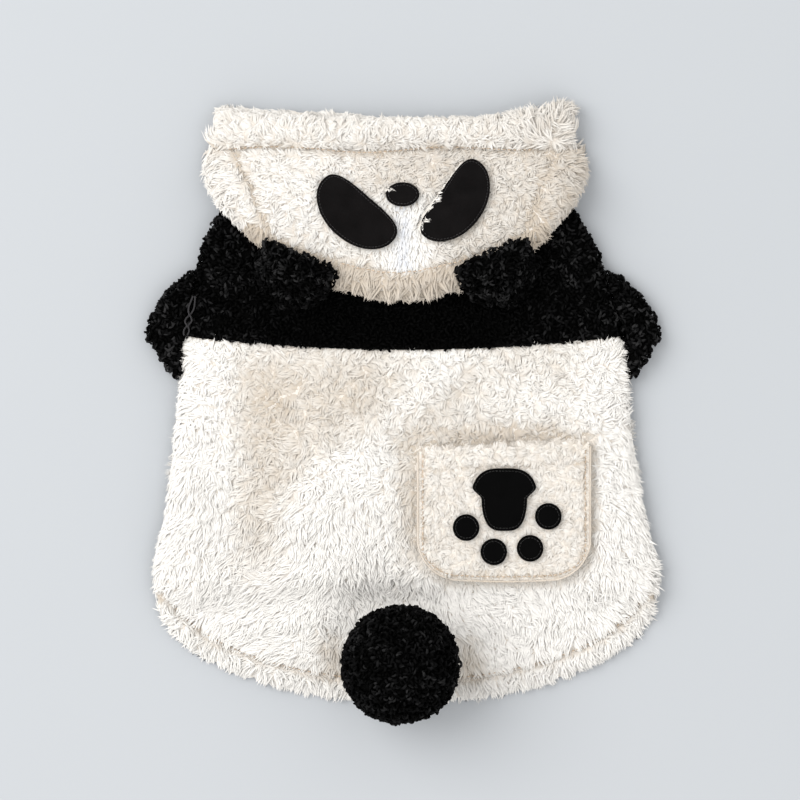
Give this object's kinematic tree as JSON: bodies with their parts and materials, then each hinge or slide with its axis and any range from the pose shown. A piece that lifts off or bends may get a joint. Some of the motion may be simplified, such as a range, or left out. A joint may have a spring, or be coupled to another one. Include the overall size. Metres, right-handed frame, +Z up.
{
  "type": "hooded dog sweater",
  "caption": "Small dog's hooded fleece sweater laid flat, back up: white back, black yoke, short sleeves, ears and ball tail, felt face patches, and a back pocket with a paw.",
  "frame": {"origin": "bottom centre of the whole garment's box, on the surface that it lies on", "axes": "+Z up, from the surface to the garment's back; +Y from the hem to the hood's brim; +X to the wearer's right, where the pocket is"},
  "size_m": [0.2994, 0.3588, 0.0725],
  "materials": {
    "white_fleece": "matte curly pile fleece",
    "black_fleece": "matte tight curly pile fleece",
    "black_felt": "matte short-napped felt, edge-stitched"
  },
  "bodies": {
    "root": {"back": "white_fleece", "yoke": "black_fleece", "belly": "white_fleece", "chest": "black_fleece", "sleeve_left": "black_fleece", "sleeve_right": "black_fleece", "hood_face": "white_fleece", "hood_rear": "white_fleece", "hood_side_left": "white_fleece", "hood_side_right": "white_fleece", "hood_under": "white_fleece", "hood_brim": "white_fleece", "ear_left": "black_fleece", "ear_right": "black_fleece", "pocket": "white_fleece", "eye_patch_left": "black_felt", "eye_patch_right": "black_felt", "nose": "black_felt", "paw_pad": "black_felt", "paw_toe_1": "black_felt", "paw_toe_2": "black_felt", "paw_toe_3": "black_felt", "paw_toe_4": "black_felt", "tail": "black_fleece"}
  },
  "joints": []
}
